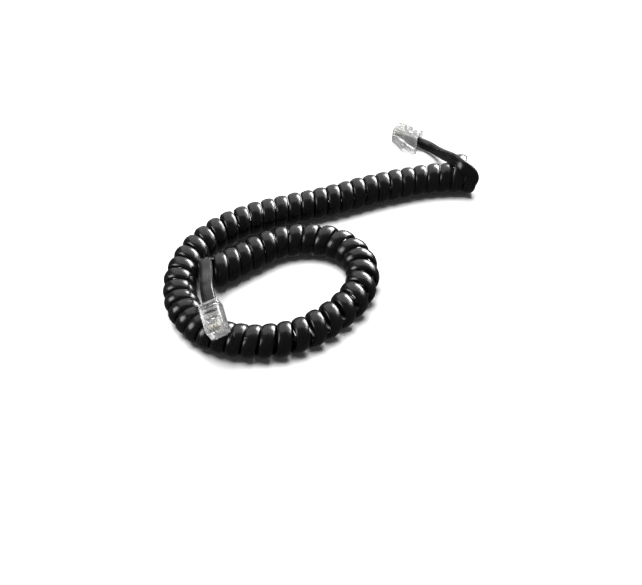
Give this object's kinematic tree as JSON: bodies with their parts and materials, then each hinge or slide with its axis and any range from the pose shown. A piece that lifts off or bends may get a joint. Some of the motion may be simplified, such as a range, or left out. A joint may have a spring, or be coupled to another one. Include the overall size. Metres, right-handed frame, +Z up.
{
  "type": "coiled modular cord",
  "caption": "Black coiled flat cord lying in one loop, with a clear modular handset plug on a short straight tail at each end.",
  "frame": {"origin": "centre of the bounding box, on the table that the cord lies on", "axes": "+Z up from the table, +Y from the front of the loop towards plug A, +X along the straight coiled stretch towards its end"},
  "size_m": [0.1311, 0.1395, 0.0255],
  "materials": {
    "jacket": "glossy black soft PVC",
    "clear_shell": "clear moulded polycarbonate",
    "gold": "gold plated",
    "core_black": "satin",
    "core_red": "satin",
    "core_green": "satin",
    "core_yellow": "satin"
  },
  "bodies": {
    "cord": {"coil_envelope": "jacket", "tail_a": "jacket", "tail_b": "jacket", "plug_a_housing": "clear_shell", "plug_a_contact_1": "gold", "plug_a_core_1": "core_black", "plug_a_contact_2": "gold", "plug_a_core_2": "core_red", "plug_a_contact_3": "gold", "plug_a_core_3": "core_green", "plug_a_contact_4": "gold", "plug_a_core_4": "core_yellow", "plug_b_housing": "clear_shell", "plug_b_contact_1": "gold", "plug_b_core_1": "core_black", "plug_b_contact_2": "gold", "plug_b_core_2": "core_red", "plug_b_contact_3": "gold", "plug_b_core_3": "core_green", "plug_b_contact_4": "gold", "plug_b_core_4": "core_yellow"},
    "latch_a": {"plug_a_latch": "clear_shell"},
    "latch_b": {"plug_b_latch": "clear_shell"}
  },
  "joints": [
    {"name": "latch_a_hinge", "type": "hinge", "parent": "cord", "child": "latch_a", "pos_m": [0.03045, 0.06408, 0.00382], "axis": [0, 0, 1], "range_deg": [0, 15.5], "stiffness_Nm_per_rad": 0.05},
    {"name": "latch_b_hinge", "type": "hinge", "parent": "cord", "child": "latch_b", "pos_m": [-0.03953, -0.06651, 0.0157], "axis": [0.9177, 0.2123, 0.3357], "range_deg": [0, 10.5], "stiffness_Nm_per_rad": 0.05}
  ]
}
